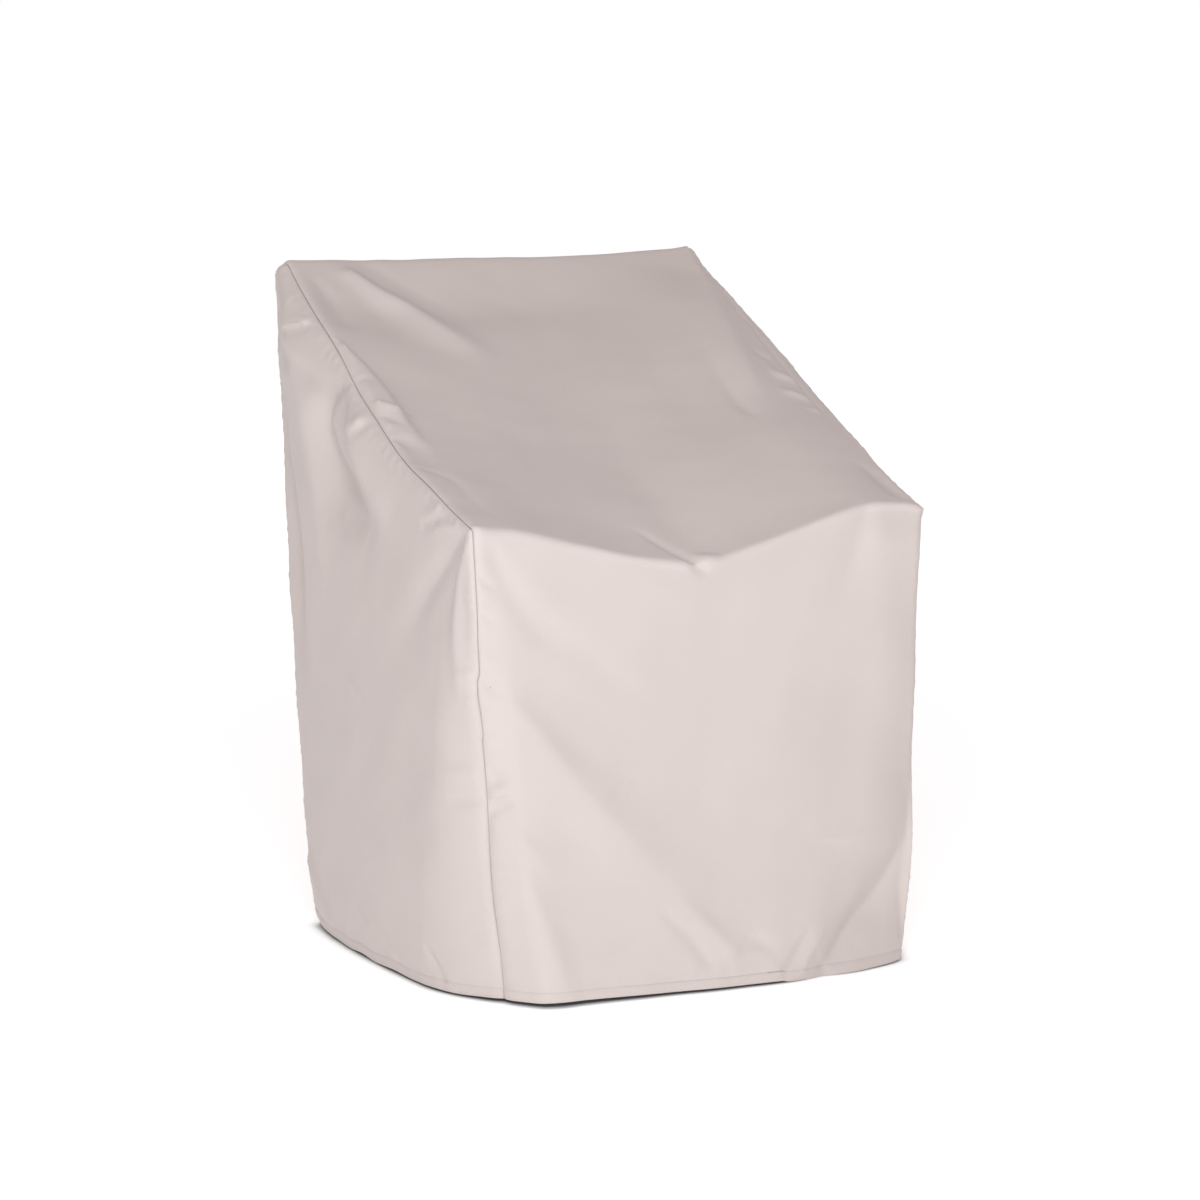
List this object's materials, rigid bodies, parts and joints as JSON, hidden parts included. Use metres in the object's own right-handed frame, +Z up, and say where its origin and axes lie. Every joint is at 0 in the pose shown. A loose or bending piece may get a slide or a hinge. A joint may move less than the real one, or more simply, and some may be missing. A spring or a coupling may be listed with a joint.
{
  "type": "armchair cover",
  "caption": "Fitted cloth cover for an outdoor armchair: one strip runs up the back, down a slope and down the front between two side panels, with an open bottom and a topstitched hem.",
  "frame": {"origin": "middle of the cover's bounding box, at the height of the lowest point of the hem", "axes": "+Z up, towards the top edge; -Y towards the front; +X to the right as seen from the front"},
  "size_m": [0.6998, 0.7156, 0.9493],
  "materials": {
    "cover_cloth": "matt woven polyester with a thin weatherproof coating"
  },
  "bodies": {
    "root": {"centre_panel": "cover_cloth", "left_panel": "cover_cloth", "right_panel": "cover_cloth"}
  },
  "joints": []
}
